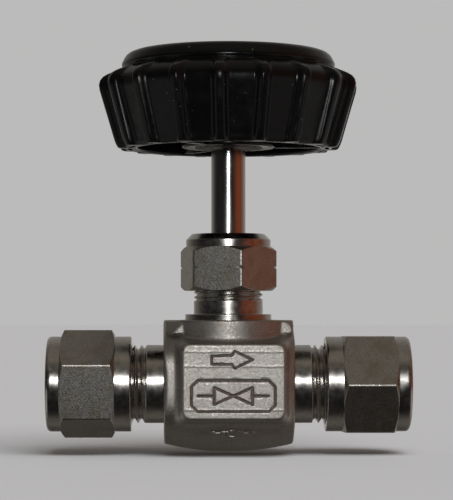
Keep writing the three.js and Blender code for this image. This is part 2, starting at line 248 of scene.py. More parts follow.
def spaced(profile, step, closed):
    """The profile with points added, so that none is further than step from the next."""
    ends = profile[1:] + (profile[:1] if closed else [])
    dense = []
    for start, end in zip(profile, ends):
        count = max(1, math.ceil(np.linalg.norm(end - start) / step))
        dense.extend(start + (end - start) * k / count for k in range(count))
    return dense if closed else [*dense, profile[-1]]


def turned(corners, sides=128, step=0.7, shapes=(), angles=None):
    """Turns a profile about +Z. Each shape may cut its radii back: shape(radius, height, angle)."""
    closed = corners[0][0] > 1e-6
    profile = np.array(spaced(rounded(corners), step, closed))
    angle = np.radians(angles) if angles is not None else np.arange(sides) * (2 * math.pi / sides)
    radius, turn = np.meshgrid(profile[:, 0], angle, indexing="ij")
    height = np.broadcast_to(profile[:, 1:2], radius.shape)
    for shape in shapes:
        radius = shape(radius, height, turn)
    points = np.stack([radius * np.cos(turn), radius * np.sin(turn), height], axis=-1)
    index = np.arange(radius.size).reshape(radius.shape)
    on_axis = profile[:, 0] < 1e-6
    index[on_axis] = index[on_axis][:, :1]
    low, high = (index, np.roll(index, -1, axis=0)) if closed else (index[:-1], index[1:])
    quads = np.stack([low, np.roll(low, -1, axis=1), np.roll(high, -1, axis=1), high], axis=-1)
    return points.reshape(-1, 3), quads.reshape(-1, 4)


def hexagon(flats, turn, zone):
    """A shape that cuts a turned bar down to a hexagon inside a zone of heights."""

    def shape(radius, height, angle):
        local = (angle - math.radians(turn)) % (math.pi / 3) - math.pi / 6
        flat = smooth_min(flats / 2 / np.cos(local), flats / math.sqrt(3) - 0.09, 0.05)
        cut = smooth_min(radius, flat, 0.12)
        inside = (height > zone[0]) & (height < zone[1]) & (radius > flats / 2 - 0.02)
        return np.where(inside, cut, radius)

    return shape


def hexagon_angles(turn):
    """Columns for a hexagonal bar, closer together at its six corners."""
    half = [0, 0.4, 0.8, 1.3, 2.0, *np.linspace(3.2, 30.0, 21)]
    sector = sorted({round(float(a), 3) for a in (*half, *(60 - a for a in half[1:]))})
    return [turn + corner * 60 + a for corner in range(6) for a in sector]


def thread(pitch, depth, zone, least):
    """A shape that cuts a right-hand thread into radii above least, running out at the zone's ends."""

    def shape(radius, height, angle):
        phase = (height / pitch - angle / (2 * math.pi)) % 1
        # Sloping flanks between narrow flat crests and narrow flat roots
        groove = np.clip(1.15 - 2.5 * np.abs(phase - 0.5), 0, 1)
        runout = smooth_step(zone[0], zone[0] + 0.5 * pitch, height)
        runout = runout * smooth_step(-zone[1], -zone[1] + 0.5 * pitch, -height)
        return radius - np.where(radius > least, depth * groove * runout, 0)

    return shape


def stretches(*ranges):
    """Grid lines from (start, step) pairs and a last end, so that detail gets the finer steps."""
    *pairs, last = ranges
    ends = [start for start, _ in pairs[1:]] + [last]
    lines = [np.linspace(a, b, round((b - a) / step), endpoint=False) for (a, step), b in zip(pairs, ends)]
    return np.concatenate([*lines, [last]])


def skin(field, axes):
    """The surface where a field of distances is zero: one point in each cell it crosses, joined up."""
    value = field(*np.meshgrid(*axes, indexing="ij", sparse=True)).astype(np.float32)
    cells = np.array(value.shape) - 1
    stride = np.array([cells[1] * cells[2], cells[2], 1])
    owners, crossings, quads = [], [], []
    for axis in range(3):
        a = value[tuple(slice(None, -1) if k == axis else slice(1, -1) for k in range(3))]
        b = value[tuple(slice(1, None) if k == axis else slice(1, -1) for k in range(3))]
        crossed = (a < 0) != (b < 0)
        edge = np.argwhere(crossed) + (np.arange(3) != axis)
        share = (a[crossed] / (a[crossed] - b[crossed]))[:, None]
        point = edge + share * (np.arange(3) == axis)
        u, v = np.eye(3, dtype=int)[[(axis + 1) % 3, (axis + 2) % 3]]
        around = np.stack([(edge - back) @ stride for back in (u + v, v, 0 * u, u)], axis=1)
        owners.append(around.ravel())
        crossings.append(np.repeat(point, 4, axis=0))
        quads.append(np.where((a[crossed] < 0)[:, None], around, around[:, ::-1]))
    ids, index = np.unique(np.concatenate(owners), return_inverse=True)
    crossings = np.concatenate(crossings)
    count = np.bincount(index)
    points = [np.bincount(index, crossings[:, k]) / count for k in range(3)]
    placed = [np.interp(values, np.arange(len(lines)), lines) for values, lines in zip(points, axes)]
    return np.stack(placed, axis=1), np.searchsorted(ids, np.concatenate(quads))


def along_x(points, sign=1):
    """Turns a shape made about +Z so that it lies along +X, or along -X for a sign of -1."""
    x, y, z = np.asarray(points).T
    return np.stack([sign * z, sign * y, -x], axis=1)


def box(centre, size):
    """A plain box as points and quads."""
    signs = np.array([(x, y, z) for x in (-1, 1) for y in (-1, 1) for z in (-1, 1)])
    quads = [(0, 1, 3, 2), (4, 6, 7, 5), (0, 4, 5, 1), (2, 3, 7, 6), (0, 2, 6, 4), (1, 5, 7, 3)]
    return np.array(centre) + signs * np.array(size) / 2, np.array(quads)


def joined(*shapes):
    """Several shapes as one."""
    starts = np.cumsum([0, *(len(points) for points, _ in shapes)])
    points = np.concatenate([points for points, _ in shapes])
    return points, np.concatenate([quads + start for (_, quads), start in zip(shapes, starts)])


def piece(name, shape, body, looks, replaces, look_of=None):
    """Makes an object that rides on a CAD body. look_of(face centres) picks each face's material."""
    points, quads = shape
    a, b, c, d = (points[quads[:, k]] for k in range(4))
    volume = np.sum(np.cross(a, b) * c) + np.sum(np.cross(a, c) * d)
    quads = quads[:, ::-1] if volume < 0 else quads
    used, quads = np.unique(quads, return_inverse=True)
    faces = [list(dict.fromkeys(face)) for face in quads.reshape(-1, 4).tolist()]
    mesh = bpy.data.meshes.new(name)
    mesh.from_pydata((points[used] * MM).tolist(), [], [face for face in faces if len(face) > 2])
    mesh.polygons.foreach_set("use_smooth", np.ones(len(mesh.polygons), bool))
    for look in looks:
        mesh.materials.append(look)
    if look_of:
        centres = np.empty(len(mesh.polygons) * 3)
        mesh.polygons.foreach_get("center", centres)
        mesh.polygons.foreach_set("material_index", look_of(centres.reshape(-1, 3) / MM).astype(int))
    made = bpy.data.objects.new(name, mesh)
    scene.collection.objects.link(made)
    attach(made, body)
    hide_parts(*replaces)
    return made


def recolour(node, look):
    """Gives a CAD node that keeps its own shape one material."""
    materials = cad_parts[node].data.materials
    materials.clear()
    materials.append(look)


def apply_modifier(made, kind, **settings):
    """Replaces a piece's mesh with what one modifier makes of it."""
    modifier = made.modifiers.new(kind, kind)
    for key, value in settings.items():
        setattr(modifier, key, value)
    bpy.context.view_layer.update()
    result = bpy.data.meshes.new_from_object(made.evaluated_get(bpy.context.evaluated_depsgraph_get()))
    made.modifiers.remove(modifier)
    made.data = result


def cross_hole(made, radius, reach, height):
    """Cuts a round hole into a piece, from the stem's axis out along +Y, at a height."""
    points, quads = turned([(0, 0.5), (radius, 0.5), (radius, reach), (0, reach)], 48, 3.0)
    x, y, z = points.T
    mesh = bpy.data.meshes.new("cutter")
    faces = [list(dict.fromkeys(face)) for face in quads.tolist()]
    mesh.from_pydata((np.stack([x, z, height - y], 1) * MM).tolist(), [], faces)
    cutter = bpy.data.objects.new("cutter", mesh)
    scene.collection.objects.link(cutter)
    apply_modifier(made, "BOOLEAN", operation="DIFFERENCE", object=cutter)
    bpy.data.objects.remove(cutter)


def thinned(made, most):
    """Merges a piece's flattest triangles until no more than that many are left."""
    made.data.calc_loop_triangles()
    count = len(made.data.loop_triangles)
    if count > most:
        apply_modifier(made, "DECIMATE", ratio=most / count)


# ---- Materials -------------------------------------------------------------------------------


class Graph:
    """A node tree, with short calls for adding and joining nodes."""

    def __init__(self, owner):
        owner.use_nodes = True
        self.tree = owner.node_tree
        self.nodes = owner.node_tree.nodes

    def add(self, kind, **settings):
        node = self.nodes.new(kind)
        for key, value in settings.items():
            setattr(node, key, value)
        return node

    def join(self, start, end):
        self.tree.links.new(start, end)

    def feed(self, socket, value):
        """Joins a socket to another node's output, or sets its own number or colour."""
        if isinstance(value, bpy.types.NodeSocket):
            self.join(value, socket)
        else:
            socket.default_value = (*value, 1) if isinstance(value, tuple) else value

    def math(self, operation, *values):
        node = self.add("ShaderNodeMath", operation=operation)
        for socket, value in zip(node.inputs, values):
            self.feed(socket, value)
        return node.outputs[0]

    def step(self, value, low, high):
        """0 below low and 1 above high, with a smooth change between them."""
        node = self.add("ShaderNodeMapRange", interpolation_type="SMOOTHSTEP")
        for socket, number in (("Value", value), ("From Min", low), ("From Max", high)):
            self.feed(node.inputs[socket], number)
        return node.outputs["Result"]

    def mix(self, share, low, high):
        node = self.add("ShaderNodeMix", data_type="RGBA")
        for socket, value in zip(("Factor", "A", "B"), (share, low, high)):
            self.feed(node.inputs[socket], value)
        return node.outputs["Result"]


class Look(Graph):
    """A Principled material whose nodes are added in a few short calls."""

    def __init__(self, name, color, roughness, metallic=0.0):
        self.material = bpy.data.materials.new(name)
        super().__init__(self.material)
        self.shader = self.nodes["Principled BSDF"]
        self.set("Base Color", (*color, 1))
        self.set("Roughness", roughness)
        self.set("Metallic", metallic)
        self.place = self.add("ShaderNodeTexCoord").outputs["Object"]
        self.normal = None

    def set(self, socket, value):
        self.shader.inputs[socket].default_value = value

    def noise(self, size, detail, stretch=(1, 1, 1)):
        """Noise with features of that size in millimetres, drawn out along an axis by its stretch."""
        mapping = self.add("ShaderNodeMapping")
        mapping.inputs["Scale"].default_value = [1 / (size * MM * s) for s in stretch]
        texture = self.add("ShaderNodeTexNoise")
        texture.inputs["Scale"].default_value = 1.0
        texture.inputs["Detail"].default_value = detail
        self.join(self.place, mapping.inputs["Vector"])
        self.join(mapping.outputs["Vector"], texture.inputs["Vector"])
        return texture.outputs["Fac"]

    def spread(self, value, low, high, start=0.35, end=0.65):
        """Maps a noise's middle range to a range of values."""
        remap = self.add("ShaderNodeMapRange")
        remap.inputs["From Min"].default_value = start
        remap.inputs["From Max"].default_value = end
        remap.inputs["To Min"].default_value = low
        remap.inputs["To Max"].default_value = high
        self.join(value, remap.inputs["Value"])
        return remap.outputs["Result"]

    def relief(self, height, depth):
        """Bumps the surface by a height from 0 to 1, deep in millimetres."""
        bump = self.add("ShaderNodeBump")
        bump.inputs["Strength"].default_value = 1.0
        bump.inputs["Distance"].default_value = depth * MM
        self.join(height, bump.inputs["Height"])
        if self.normal:
            self.join(self.normal, bump.inputs["Normal"])
        self.normal = bump.outputs["Normal"]
        self.join(self.normal, self.shader.inputs["Normal"])

    def tint(self, value, low, high):
        """Colours the surface between two colours by a value from 0 to 1."""
        self.join(self.mix(value, low, high), self.shader.inputs["Base Color"])

    def gloss(self, value):
        """Sets the surface's roughness from a value."""
        self.join(value, self.shader.inputs["Roughness"])


def forged_steel():
    """Forged and blasted: dull, with a fine grain that sparkles and a few soft stains."""
    look = Look("forged_steel", (0.5, 0.47, 0.43), 0.52, 1.0)
    look.relief(look.noise(0.9, 3.0), 0.02)
    look.relief(look.noise(0.17, 1.0), 0.015)
    look.gloss(look.spread(look.noise(0.25, 4.0), 0.40, 0.56))
    grain = look.mix(look.spread(look.noise(0.3, 6.0), 0, 1), (0.42, 0.4, 0.365), (0.57, 0.545, 0.51))
    look.tint(look.spread(look.noise(3.0, 5.0), 0, 0.5, 0.5, 0.72), grain, (0.39, 0.35, 0.30))
    return look.material


def groove_shaded_steel():
    """The forging's surface inside its marks, darker and duller than the rest: painted shade in the
    grooves.
    """
    look = Look("groove_shaded_steel", (0.36, 0.31, 0.28), 0.6, 1.0)
    look.relief(look.noise(0.2, 2.0), 0.012)
    look.tint(look.spread(look.noise(0.5, 4.0), 0, 1), (0.28, 0.235, 0.21), (0.44, 0.385, 0.35))
    return look.material


def milled_steel():
    """The flats of the nuts: dull drawn bar with a fine sparkling grain and brownish stains."""
    look = Look("milled_steel", (0.5, 0.48, 0.44), 0.39, 1.0)
    look.relief(look.noise(0.17, 1.0), 0.017)
    look.gloss(look.spread(look.noise(0.22, 4.0), 0.28, 0.46))
    grain = look.mix(look.spread(look.noise(0.3, 6.0), 0, 1), (0.43, 0.41, 0.375), (0.6, 0.58, 0.54))
    look.tint(look.spread(look.noise(2.4, 5.0), 0, 0.7, 0.48, 0.7), grain, (0.40, 0.345, 0.27))
    return look.material


def turned_steel(name, axis):
    """Lathe-turned: fine rings about an axis, 0 for X or 2 for Z."""
    look = Look(name, (0.58, 0.56, 0.53), 0.22, 1.0)
    rings = [60.0, 60.0, 60.0]
    rings[axis] = 1.0
    look.relief(look.noise(0.16, 2.0, rings), 0.003)
    look.gloss(look.spread(look.noise(1.8, 4.0), 0.18, 0.29))
    look.tint(look.spread(look.noise(0.9, 4.0), 0, 1), (0.52, 0.5, 0.465), (0.63, 0.61, 0.58))
    return look.material


def polished_steel():
    """Ground and polished along its length, with faint marks where the packing rubs."""
    look = Look("polished_steel", (0.7, 0.69, 0.68), 0.17, 1.0)
    look.relief(look.noise(0.12, 2.0, (30, 30, 1)), 0.0015)
    look.gloss(look.spread(look.noise(1.2, 3.0, (1, 1, 6)), 0.14, 0.2))
    return look.material


def phenolic():
    """Moulded black plastic, half glossy, with handling marks and specks of dust."""
    black = (0.0035, 0.0035, 0.0035)
    look = Look("phenolic", black, 0.3)
    look.set("Specular IOR Level", 0.25)
    look.relief(look.noise(5.0, 1.0), 0.03)
    look.relief(look.noise(0.5, 3.0), 0.004)
    look.gloss(look.spread(look.noise(2.5, 5.0), 0.16, 0.3))
    dust = look.spread(look.noise(0.6, 2.0), 0, 1, 0.74, 0.8)
    look.tint(dust, black, (0.16, 0.16, 0.15))
    return look.material


def insert_metal():
    """The dark, dull metal of the bush in the knob."""
    look = Look("insert_metal", (0.2, 0.19, 0.16), 0.5, 1.0)
    look.relief(look.noise(0.4, 3.0), 0.01)
    look.tint(look.spread(look.noise(1.0, 4.0), 0, 1), (0.13, 0.12, 0.1), (0.26, 0.24, 0.21))
    return look.material


def packing_plastic():
    """White packing, slightly translucent."""
    look = Look("packing_plastic", (0.82, 0.81, 0.77), 0.45)
    look.set("Subsurface Weight", 0.1)
    look.set("Subsurface Scale", 0.5 * MM)
    look.relief(look.noise(0.8, 2.0), 0.01)
    return look.material


def blackened_steel():
    """The set screw's black oxide finish."""
    look = Look("blackened_steel", (0.05, 0.05, 0.055), 0.35, 1.0)
    look.relief(look.noise(0.3, 2.0), 0.008)
    return look.material


FORGED = forged_steel()
# Darker steel for the engraved marks, standing in for the shade inside them: painted shade
GROOVE_SHADED = groove_shaded_steel()
MILLED = milled_steel()
TURNED_X = turned_steel("turned_steel_x", 0)
TURNED_Z = turned_steel("turned_steel_z", 2)
POLISHED = polished_steel()
PHENOLIC = phenolic()
INSERT = insert_metal()
PACKING = packing_plastic()
BLACKENED = blackened_steel()


# ---- Body ------------------------------------------------------------------------------------


def line_distance(x, z, outline, closed=True):
    """The distance from each place on the front face to a drawn line."""
    ends = outline[1:] + outline[:1] if closed else outline[1:]
    nearest = np.inf
    for (x0, z0), (x1, z1) in zip(outline, ends):
        dx, dz = x1 - x0, z1 - z0
        share = np.clip(((x - x0) * dx + (z - z0) * dz) / (dx * dx + dz * dz), 0, 1)
        nearest = np.minimum(nearest, np.hypot(x - x0 - share * dx, z - z0 - share * dz))
    return nearest


def engraving(x, z):
    """Depth of the marks on the front pad: a flow arrow, and a plain framed valve symbol under it."""
    arrow = [(-3.2, 3.9), (0.4, 3.85), (0.9, 3.15), (4.05, 4.65), (0.9, 6.2), (0.4, 5.45), (-3.2, 5.35)]
    left, right = -6.8, 8.1
    low, high = -4.5, 0.95
    cut = 1.1
    border = [
        (left + cut, low), (right - cut, low), (right, low + cut), (right, high - cut),
        (right - cut, high), (left + cut, high), (left, high - cut), (left, low + cut),
    ]
    middle_x, middle_z = (left + right) / 2, (low + high) / 2
    reach, rise = 3.4, 1.5
    symbol = [
        (middle_x, middle_z), (middle_x - reach, middle_z + rise), (middle_x - reach, middle_z - rise),
        (middle_x, middle_z), (middle_x + reach, middle_z - rise), (middle_x + reach, middle_z + rise),
    ]
    pipes = [
        [(left + 1.2, middle_z), (middle_x - reach, middle_z)],
        [(middle_x + reach, middle_z), (right - 1.2, middle_z)],
    ]
    nearest = np.minimum(line_distance(x, z, arrow), line_distance(x, z, border))
    nearest = np.minimum(nearest, line_distance(x, z, symbol))
    for pipe in pipes:
        nearest = np.minimum(nearest, line_distance(x, z, pipe, closed=False))
    return GROOVE_DEPTH * np.clip(1 - nearest / GROOVE_HALF, 0, 1)


def forging(x, y, z):
    """Distance to the forging: two crossing barrels, with a pad front and back and a lug at each corner."""
    core = smooth_min(upright_barrel(x, y, z), lying_barrel(x, y, z), 0.4) - flash_line(x, y, z)
    outside = smooth_min(smooth_min(core, pads(x, y, z), 0.9), lugs(x, y, z), 0.25)
    on_face = smooth_step(-1.0, 0, -np.abs(np.abs(y) - PAD_Y))
    marks = np.where(y < 0, engraving(x, z), 0)
    return outside + on_face * (marks - pad_ridges(x, z))


def upright_barrel(x, y, z):
    """The barrel under the stem, cut off flat on top."""
    barrel = smooth_max(np.hypot(x, y) - BARREL_R, z - BODY_TOP_Z, 0.35)
    return smooth_max(barrel, -z, 0.35)


def lying_barrel(x, y, z):
    """The barrel along the flow: crowned below, nearly straight in front, and flat beside the pads."""
    end_share = (x / BODY_HALF_X) ** 2
    crowned_r = BELLY_R - (BELLY_R - BELLY_END_R) * end_share
    front_r = BELLY_R - (BELLY_R - FRONT_END_R) * end_share
    round_part = np.hypot(y * crowned_r / front_r, z) - crowned_r
    barrel = smooth_max(round_part, np.abs(x) - BODY_HALF_X, 0.35)
    return smooth_max(barrel, np.abs(y) - LAND_Y, 1.0)


def pads(x, y, z):
    """The raised pads front and back, whose walls slope first at their edges and then more gently."""
    face = np.abs(y) - PAD_Y
    wall = 0.25 * np.clip(face + PAD_EDGE, -PAD_DEPTH, 0)
    edge = np.maximum(face, -PAD_EDGE)
    middle_x, middle_z = sum(PAD_X) / 2, sum(PAD_Z) / 2
    side_x = (np.abs(x - middle_x) - (PAD_X[1] - PAD_X[0]) / 2 + wall + edge * 0.6) / 1.1
    side_z = (np.abs(z - middle_z) - (PAD_Z[1] - PAD_Z[0]) / 2 + wall + edge * 0.5) / 1.1
    pad = smooth_max(face, smooth_max(side_x, side_z, 1.5), 0.35)
    return smooth_max(pad, np.abs(x) - BODY_HALF_X + 0.15, 0.4)


def pad_ridges(x, z):
    """Height of the fine wavy lines that cross a pad's face, left by the die."""
    wavy_z = z + 0.04 * np.sin(1.1 * x) + 0.03 * np.sin(4.3 * x)
    return sum(0.035 * np.exp(-(((wavy_z - ridge_z) / 0.17) ** 2)) for ridge_z in PAD_RIDGES_Z)


def flash_line(x, y, z):
    """Height of the ragged line under the front pad, where the forging's flash was trimmed off."""

    def ridge(middle_x, half_length, fade, middle_z, width):
        along = smooth_step(-fade, 0, half_length - np.abs(x - middle_x))
        return along * np.exp(-(((z - middle_z) / width) ** 2))

    wave = 0.2 * np.sin(1.15 * x + 0.9) + 0.09 * np.sin(3.7 * x) + 0.05 * np.sin(9.1 * x + 1.0)
    long_one = ridge(0.7, 3.6, 0.6, wave - 8.35, 0.14)
    short_one = ridge(-0.1, 0.9, 0.4, -9.0 - wave, 0.13)
    return np.where(y < 0, 0.27 * long_one + 0.22 * short_one, 0)


def lugs(x, y, z):
    """Four trimmed lugs at the top corners, each with a flat front and a bevel across its corner."""
    front = (np.abs(y) + 0.08 * np.abs(x) + 0.1 * z - np.where(x < 0, *LUG_FRONTS)) / 1.01
    bevel = (np.abs(x) + 0.95 * z + 1.2 * np.abs(y) - np.where(x < 0, *LUG_BEVELS)) / 1.82
    inner = np.maximum(LUG_Z - z, LUG_X - np.abs(x))
    outer = np.maximum(z - BODY_TOP_Z + 0.1, np.abs(x) - BODY_HALF_X + 0.25)
    return smooth_max(smooth_max(front, bevel, 0.4), smooth_max(inner, outer, 0.4), 0.35)


def drilled(x, y, z, start, end):
    """Distance to a drilled passage in the plane of the two axes."""
    (x0, z0), (x1, z1) = start, end
    dx, dz = x1 - x0, z1 - z0
    share = np.clip(((x - x0) * dx + (z - z0) * dz) / (dx * dx + dz * dz), 0, 1)
    return np.sqrt((x - x0 - share * dx) ** 2 + y**2 + (z - z0 - share * dz) ** 2) - DRILL_R


def passages(x, y, z):
    """Distance to the hollow inside: the stem's bore, the chamber, the orifice, ports and drillings."""
    radius = np.hypot(x, y)
    chamber_low, chamber_high = CHAMBER_Z
    stem_bore = np.maximum(radius - STEM_BORE_R, chamber_high - z)
    chamber = np.maximum(np.maximum(radius - CHAMBER_R, chamber_low - z), z - chamber_high - 0.4)
    orifice = np.maximum(np.maximum(radius - ORIFICE_R, ORIFICE_LOW_Z - z), z - chamber_low)
    port = np.maximum(np.hypot(y, z) - PORT_R, PORT_START_X - np.abs(x))
    drillings = np.minimum(drilled(x, y, z, *INLET_DRILLING), drilled(x, y, z, *OUTLET_DRILLING))
    hollow = np.minimum(np.minimum(stem_bore, chamber), orifice)
    return np.minimum(np.minimum(hollow, port), drillings)


def in_grooves(centres):
    """Picks material 1, the steel darkened with painted shade, for faces inside the engraved marks."""
    x, y, z = centres.T
    on_pad = (y < -PAD_Y + GROOVE_DEPTH + 0.1) & (x > PAD_X[0]) & (x < PAD_X[1])
    return on_pad & (engraving(x, z) > 0.3 * GROOVE_DEPTH)


def body_block():
    """The forging less its passages, on a grid that is finer where there is detail."""

    def field(x, y, z):
        return np.maximum(forging(x, y, z), -passages(x, y, z))

    coarser = 1
    fine, plain = 0.1 * coarser, 0.22 * coarser
    detail_x, end_x = BODY_HALF_X + 0.05, BODY_HALF_X + 0.65
    near_y, end_y = PAD_Y - 0.4, PAD_Y + 0.4
    detail_low_z, detail_high_z = PAD_Z[0] - 0.6, PAD_Z[1] + 0.6
    low_z, high_z = -BELLY_R - 0.45, BODY_TOP_Z + 0.4
    return skin(
        field,
        (
            stretches((-end_x, plain), (-detail_x, fine), (detail_x, plain), end_x),
            stretches((-end_y, fine), (-near_y, plain), (near_y, fine), end_y),
            stretches((low_z, plain), (detail_low_z, fine), (detail_high_z, 1.3 * fine), high_z),
        ),
    )


def connector(sign):
    """A male tube connection: thread outside, port, tube stop, tube bore and ferrule seat inside."""
    profile = [
        (PORT_R, CONNECTOR_START_X),
        (END_THREAD_R, CONNECTOR_START_X),
        (END_THREAD_R, CONNECTOR_END_X, 0.8),
        (CONE_MOUTH_R, CONNECTOR_END_X, 0.15),
        (TUBE_BORE_R, CONE_START_X, 0.15),
        (TUBE_BORE_R, TUBE_STOP_X, 0.1),
        (PORT_R, TUBE_STOP_X, 0.15),
    ]
    zone = (END_THREAD_START_X, CONNECTOR_END_X + 0.3)
    cut = thread(END_PITCH, END_THREAD_DEPTH, zone, END_THREAD_R - 0.9)
    points, quads = turned(profile, 144, 0.09, [cut])
    return along_x(points, sign), quads


def neck():
    """The shoulder and the threaded neck round the packing bore."""
    profile = [
        (STEM_BORE_R, NECK_START_Z),
        (SHOULDER_R, NECK_START_Z),
        (SHOULDER_R, SHOULDER_TOP_Z, 0.18),
        (NECK_R, SHOULDER_TOP_Z, 0.15),
        (NECK_R, NECK_TOP_Z, 0.6),
        (PACKING_BORE_R, NECK_TOP_Z, 0.2),
        (PACKING_BORE_R, PACKING_FLOOR_Z),
        (STEM_BORE_R, PACKING_FLOOR_Z),
    ]
    zone = (NECK_THREAD_START_Z, NECK_TOP_Z + 0.3)
    return turned(profile, 144, 0.08, [thread(NECK_PITCH, NECK_THREAD_DEPTH, zone, NECK_R - 0.6)])


def build_body():
    """The body in four pieces: the forging, the neck and the two connectors."""
    # The second look paints shade into the engraved marks
    looks = [FORGED, GROOVE_SHADED]
    made = piece("body_forging", body_block(), "valve", looks, ["valve_body"], in_grooves)
    thinned(made, MOST_TRIANGLES)
    piece("body_neck", neck(), "valve", [TURNED_Z], ["valve_body"])
    for side, sign in (("outlet", 1), ("inlet", -1)):
        piece(f"{side}_connector", connector(sign), "valve", [TURNED_X], ["valve_body"])


# ---- Tube nuts and ferrules ------------------------------------------------------------------


def tube_nut(turn):
    """A hexagonal nut with a turned collar at each end, a plain bore and a shoulder for the ferrules."""
    corner = NUT_FLATS / math.sqrt(3) + 0.2
    hex_low, hex_high = NUT_HEX_X
    profile = [
        (NUT_BORE_R, NUT_START_X, 0.3),
        (NUT_COLLAR_R, NUT_START_X, 0.35),
        (NUT_COLLAR_R, hex_low, 0.06),
        (NUT_COLLAR_R + 0.12, hex_low, 0.03),
        (corner, hex_low + NUT_BEVEL),
        (corner, hex_high - NUT_BEVEL),
        (NUT_COLLAR_R + 0.12, hex_high, 0.03),
        (NUT_COLLAR_R, hex_high, 0.06),
        (NUT_COLLAR_R, NUT_END_X, 0.85),
        (TUBE_BORE_R, NUT_END_X, 0.35),
        (TUBE_BORE_R, NUT_SHOULDER_X, 0.15),
        (NUT_BORE_R, NUT_SHOULDER_X - 1.2, 0.2),
    ]
    cut = hexagon(NUT_FLATS, turn, (hex_low - 0.01, hex_high + 0.01))
    return turned(profile, step=0.13, shapes=[cut], angles=hexagon_angles(turn))


def flats_between(low, high, least_r, axis):
    """Picks material 1 for faces on a hexagon's flats, and 0 for the turned surfaces."""

    def look_of(centres):
        height = np.abs(centres[:, axis])
        across = np.delete(centres, axis, axis=1)
        outside = np.hypot(*across.T) > least_r
        return outside & (height > low) & (height < high)

    return look_of


def front_ferrule():
    """The long cone that the nut drives into the connector's seat."""
    nose, heel = FRONT_FERRULE_NOSE_X, FRONT_FERRULE_HEEL_X
    return turned(
        [
            (TUBE_BORE_R, nose, 0.05),
            (TUBE_BORE_R + 0.15, nose, 0.05),
            (CONE_MOUTH_R - 0.12, CONNECTOR_END_X),
            (CONE_MOUTH_R + 0.35, CONNECTOR_END_X + 0.5, 0.1),
            (CONE_MOUTH_R + 0.35, heel, 0.1),
            (TUBE_BORE_R + 0.9, heel, 0.05),
            (TUBE_BORE_R, heel - 0.9, 0.05),
        ]
    )


def rear_ferrule():
    """The short ring behind the front ferrule, with a nose that goes under its heel."""
    ring_low, ring_high = REAR_FERRULE_RING_X
    return turned(
        [
            (TUBE_BORE_R, REAR_FERRULE_NOSE_X, 0.05),
            (TUBE_BORE_R + 0.75, ring_low, 0.05),
            (TUBE_BORE_R + 2.2, ring_low, 0.1),
            (TUBE_BORE_R + 2.2, ring_high, 0.1),
            (TUBE_BORE_R + 0.75, REAR_FERRULE_HEEL_X, 0.05),
            (TUBE_BORE_R, REAR_FERRULE_HEEL_X, 0.05),
        ]
    )


def build_tube_ends():
    """A nut, a front ferrule and a rear ferrule at each end."""
    flats = flats_between(NUT_HEX_X[0] + 0.02, NUT_HEX_X[1] - 0.02, NUT_COLLAR_R + 0.02, 0)
    for side, sign, turn in (("outlet", 1, OUTLET_NUT_TURN), ("inlet", -1, INLET_NUT_TURN)):
        parts = (
            ("nut", tube_nut(turn), f"{side}_nut", [TURNED_X, MILLED], flats),
            ("front_ferrule", front_ferrule(), "valve", [TURNED_X], None),
            ("rear_ferrule", rear_ferrule(), f"{side}_ferrule", [TURNED_X], None),
        )
        for part, (points, quads), body, looks, look_of in parts:
            shape = along_x(points, sign), quads
            piece(f"{side}_{part}_fine", shape, body, looks, [f"{side}_{part}"], look_of)


# ---- Stem, needle and packing ----------------------------------------------------------------


def stem():
    """The polished rod, with its thread, and a head at the foot whose socket holds the needle tip."""
    thread_low, thread_high = STEM_THREAD_Z
    profile = [
        (0, STEM_SOCKET_TOP_Z),
        (STEM_SOCKET_R, STEM_SOCKET_TOP_Z, 0.1),
        (STEM_SOCKET_R, STEM_FOOT_Z, 0.1),
        (STEM_HEAD_R, STEM_FOOT_Z, 0.2),
        (STEM_HEAD_R, STEM_HEAD_TOP_Z),
        (STEM_THREAD_R, thread_low),
        (STEM_THREAD_R, thread_high, 0.1),
        (STEM_R, thread_high, 0.1),
        (STEM_R, STEM_TOP_Z, 0.4),
        (0, STEM_TOP_Z),
    ]
    cut = thread(STEM_PITCH, STEM_THREAD_DEPTH, (thread_low - 0.2, thread_high + 0.1), STEM_R + 0.1)
    return turned(profile, 128, 0.16, [cut])


def needle_tip():
    """The swivelling cone: its flank rests on the orifice's edge, and its head sits in the stem."""
    slope = math.tan(math.radians(NEEDLE_HALF_ANGLE))
    tip_z = -ORIFICE_R - ORIFICE_R / slope + 0.12
    head_low, head_high = NEEDLE_HEAD_Z
    return turned(
        [
            (0, tip_z),
            (NEEDLE_R, tip_z + NEEDLE_R / slope, 0.1),
            (NEEDLE_R, NEEDLE_TOP_Z, 0.15),
            (NEEDLE_NECK_R, NEEDLE_TOP_Z, 0.1),
            (NEEDLE_NECK_R, head_low, 0.05),
            (NEEDLE_HEAD_R, head_low, 0.1),
            (NEEDLE_HEAD_R, head_high, 0.4),
            (0, head_high + 0.2),
        ]
    )


def packing_stack():
    """Each packing piece's name and profile, from the bottom of the packing bore upwards."""
    inner, outer = STEM_R + 0.05, PACKING_BORE_R - 0.1
    middle = (inner + outer) / 2
    pieces = [("packing_washer", 1.0, False, False), ("packing_lower_adapter", 0.9, False, True)]
    pieces += [(f"packing_ring_{number}", 1.1, True, True) for number in (1, 2, 3)]
    pieces += [("packing_upper_adapter", 1.5, True, False)]
    low = PACKING_STACK_Z
    for name, height, hollow_below, ridge_above in pieces:
        high = low + height
        middle_low = low + (PACKING_CONE_RISE if hollow_below else 0)
        middle_high = high + (PACKING_CONE_RISE if ridge_above else 0)
        profile = [(inner, low), (middle, middle_low), (outer, low)]
        profile += [(outer, high), (middle, middle_high), (inner, high)]
        yield name, [(*corner, 0.06) for corner in profile]
        low = high + 0.05


def gland():
    """The flanged sleeve that the packing nut presses down on the packing."""
    low, high = GLAND_Z
    sleeve_r, bore_r = PACKING_BORE_R - 0.1, STEM_R + 0.1
    return turned(
        [
            (bore_r, low, 0.1),
            (sleeve_r, low, 0.1),
            (sleeve_r, GLAND_FLANGE_Z, 0.1),
            (GLAND_FLANGE_R, GLAND_FLANGE_Z, 0.15),
            (GLAND_FLANGE_R, high, 0.15),
            (bore_r, high, 0.1),
        ]
    )


